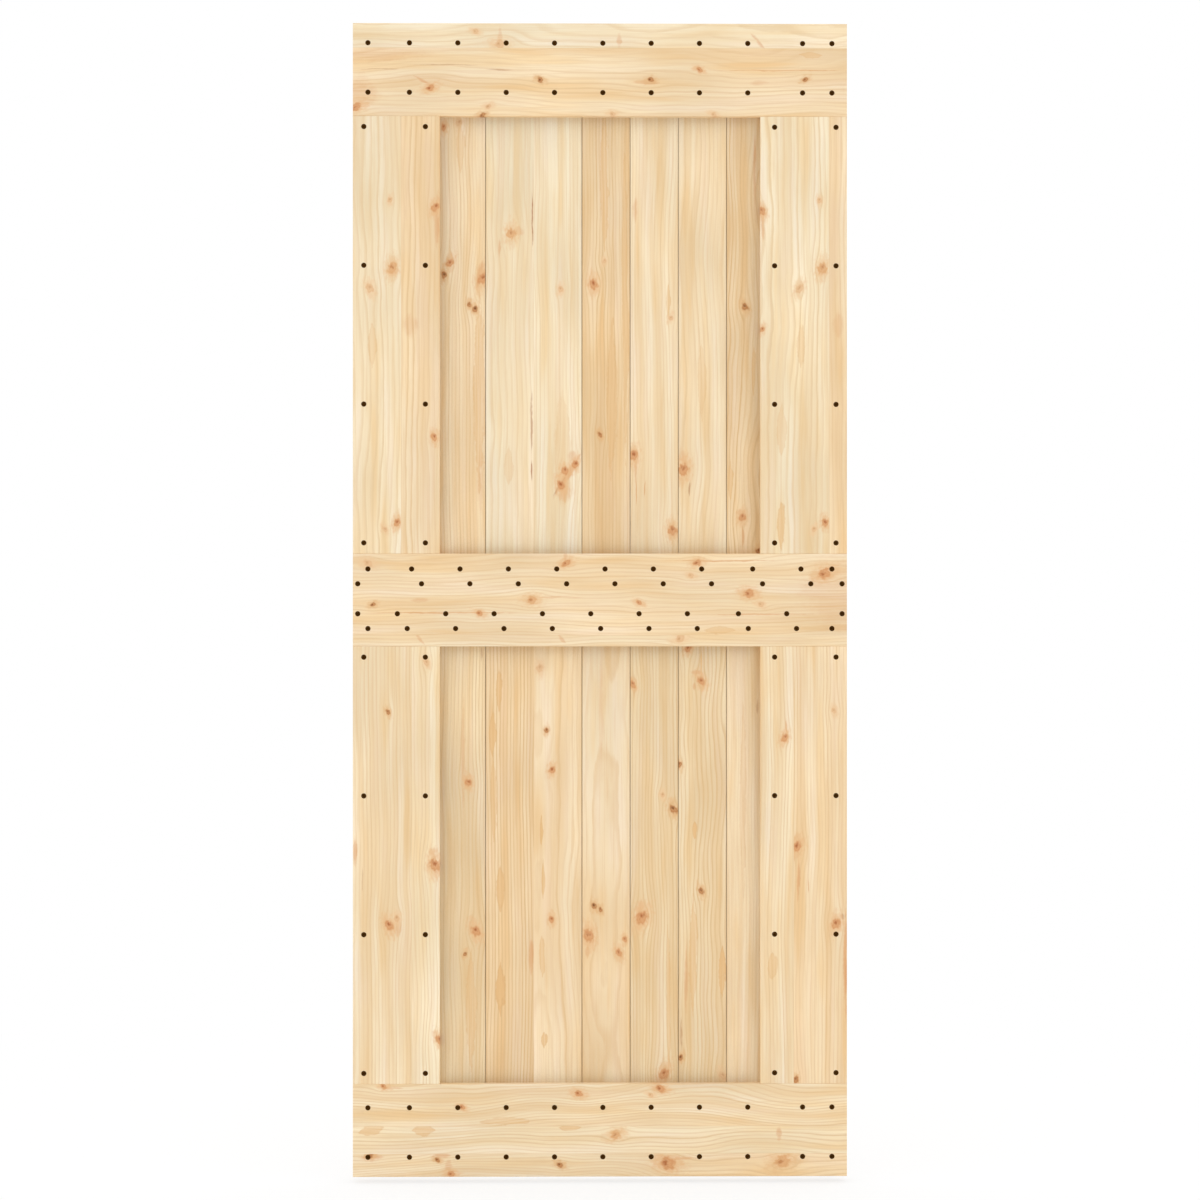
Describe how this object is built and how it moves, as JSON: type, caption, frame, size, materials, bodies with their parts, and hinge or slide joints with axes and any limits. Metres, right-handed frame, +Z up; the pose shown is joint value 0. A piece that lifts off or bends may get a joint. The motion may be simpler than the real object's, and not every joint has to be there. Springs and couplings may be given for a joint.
{
  "type": "sliding door leaf",
  "caption": "Framed pine barn-door leaf: vertical tongue-and-groove planks held between front and back frames of butted rails and stiles, screwed from the front.",
  "frame": {"origin": "middle of the leaf's top edge, half-way through its thickness", "axes": "+Z up, +X to the right seen from the front, the screwed front face looks towards -Y"},
  "size_m": [0.9, 0.0406, 2.1],
  "materials": {
    "frame_pine": "sanded, untreated",
    "plank_pine": "planed, untreated"
  },
  "bodies": {
    "root": {"upper_plank_01": "plank_pine", "upper_plank_02": "plank_pine", "upper_plank_03": "plank_pine", "upper_plank_04": "plank_pine", "upper_plank_05": "plank_pine", "upper_plank_06": "plank_pine", "upper_plank_07": "plank_pine", "upper_plank_08": "plank_pine", "upper_plank_09": "plank_pine", "upper_plank_10": "plank_pine", "upper_plank_11": "plank_pine", "lower_plank_01": "plank_pine", "lower_plank_02": "plank_pine", "lower_plank_03": "plank_pine", "lower_plank_04": "plank_pine", "lower_plank_05": "plank_pine", "lower_plank_06": "plank_pine", "lower_plank_07": "plank_pine", "lower_plank_08": "plank_pine", "lower_plank_09": "plank_pine", "lower_plank_10": "plank_pine", "lower_plank_11": "plank_pine", "front_top_rail": "frame_pine", "front_middle_rail": "frame_pine", "front_bottom_rail": "frame_pine", "front_upper_left_stile": "frame_pine", "front_upper_right_stile": "frame_pine", "front_lower_left_stile": "frame_pine", "front_lower_right_stile": "frame_pine", "back_top_rail": "frame_pine", "back_middle_rail": "frame_pine", "back_bottom_rail": "frame_pine", "back_upper_left_stile": "frame_pine", "back_upper_right_stile": "frame_pine", "back_lower_left_stile": "frame_pine", "back_lower_right_stile": "frame_pine"}
  },
  "joints": []
}
